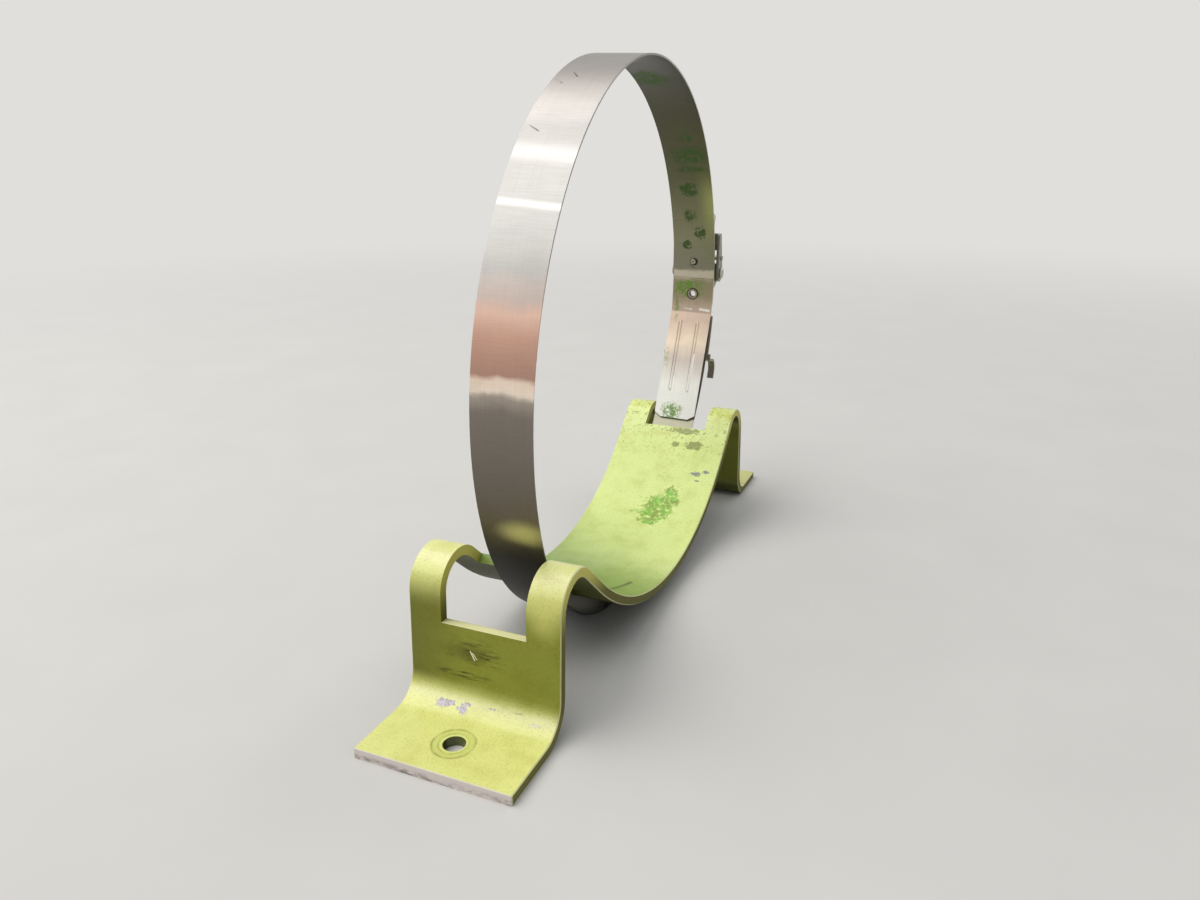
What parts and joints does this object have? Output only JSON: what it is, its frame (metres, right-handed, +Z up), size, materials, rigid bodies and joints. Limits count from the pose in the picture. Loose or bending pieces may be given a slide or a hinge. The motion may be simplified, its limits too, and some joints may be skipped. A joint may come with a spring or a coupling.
{
  "type": "gas cylinder bracket",
  "caption": "Folded steel cradle bracket with bolt-down feet and a sprung metal band that closes round a gas cylinder with an over-centre latch.",
  "frame": {"origin": "midway between the two feet, on the plane of their undersides", "axes": "+Y along the bracket towards the foot on the latch's side, +X across the plate, +Z up through the band"},
  "size_m": [0.0508, 0.2616, 0.1923],
  "materials": {
    "primer_plate": "satin primer, scuffed",
    "band_steel": "brushed",
    "latch_steel": "satin, a little tarnished",
    "rivet_steel": "satin",
    "bail_wire": "bright drawn"
  },
  "bodies": {
    "bracket_and_band": {"bracket": "primer_plate", "strap_band": "band_steel", "underlap_tongue": "band_steel", "latch_base": "latch_steel", "hook_plate": "latch_steel", "pivot_rivets": "rivet_steel", "base_rivet": "rivet_steel", "eyelet_rivet": "rivet_steel", "hook_plate_rivets": "rivet_steel"},
    "lever": {"latch_lever": "latch_steel"},
    "bail": {"wire_bail": "bail_wire"}
  },
  "joints": [
    {"name": "lever_hinge", "type": "hinge", "parent": "bracket_and_band", "child": "lever", "pos_m": [-0.00076, 0.10736, 0.10805], "axis": [-0.9982, -0.041, 0.0445], "range_deg": [0, 130]},
    {"name": "bail_hinge", "type": "hinge", "parent": "lever", "child": "bail", "pos_m": [-0.00043, 0.1067, 0.11502], "axis": [-0.9982, -0.041, 0.0445], "range_deg": [-117, 0]}
  ],
  "couplings": [
    {"joint": "bail_hinge", "follows": "lever_hinge", "ratio": -0.9}
  ]
}
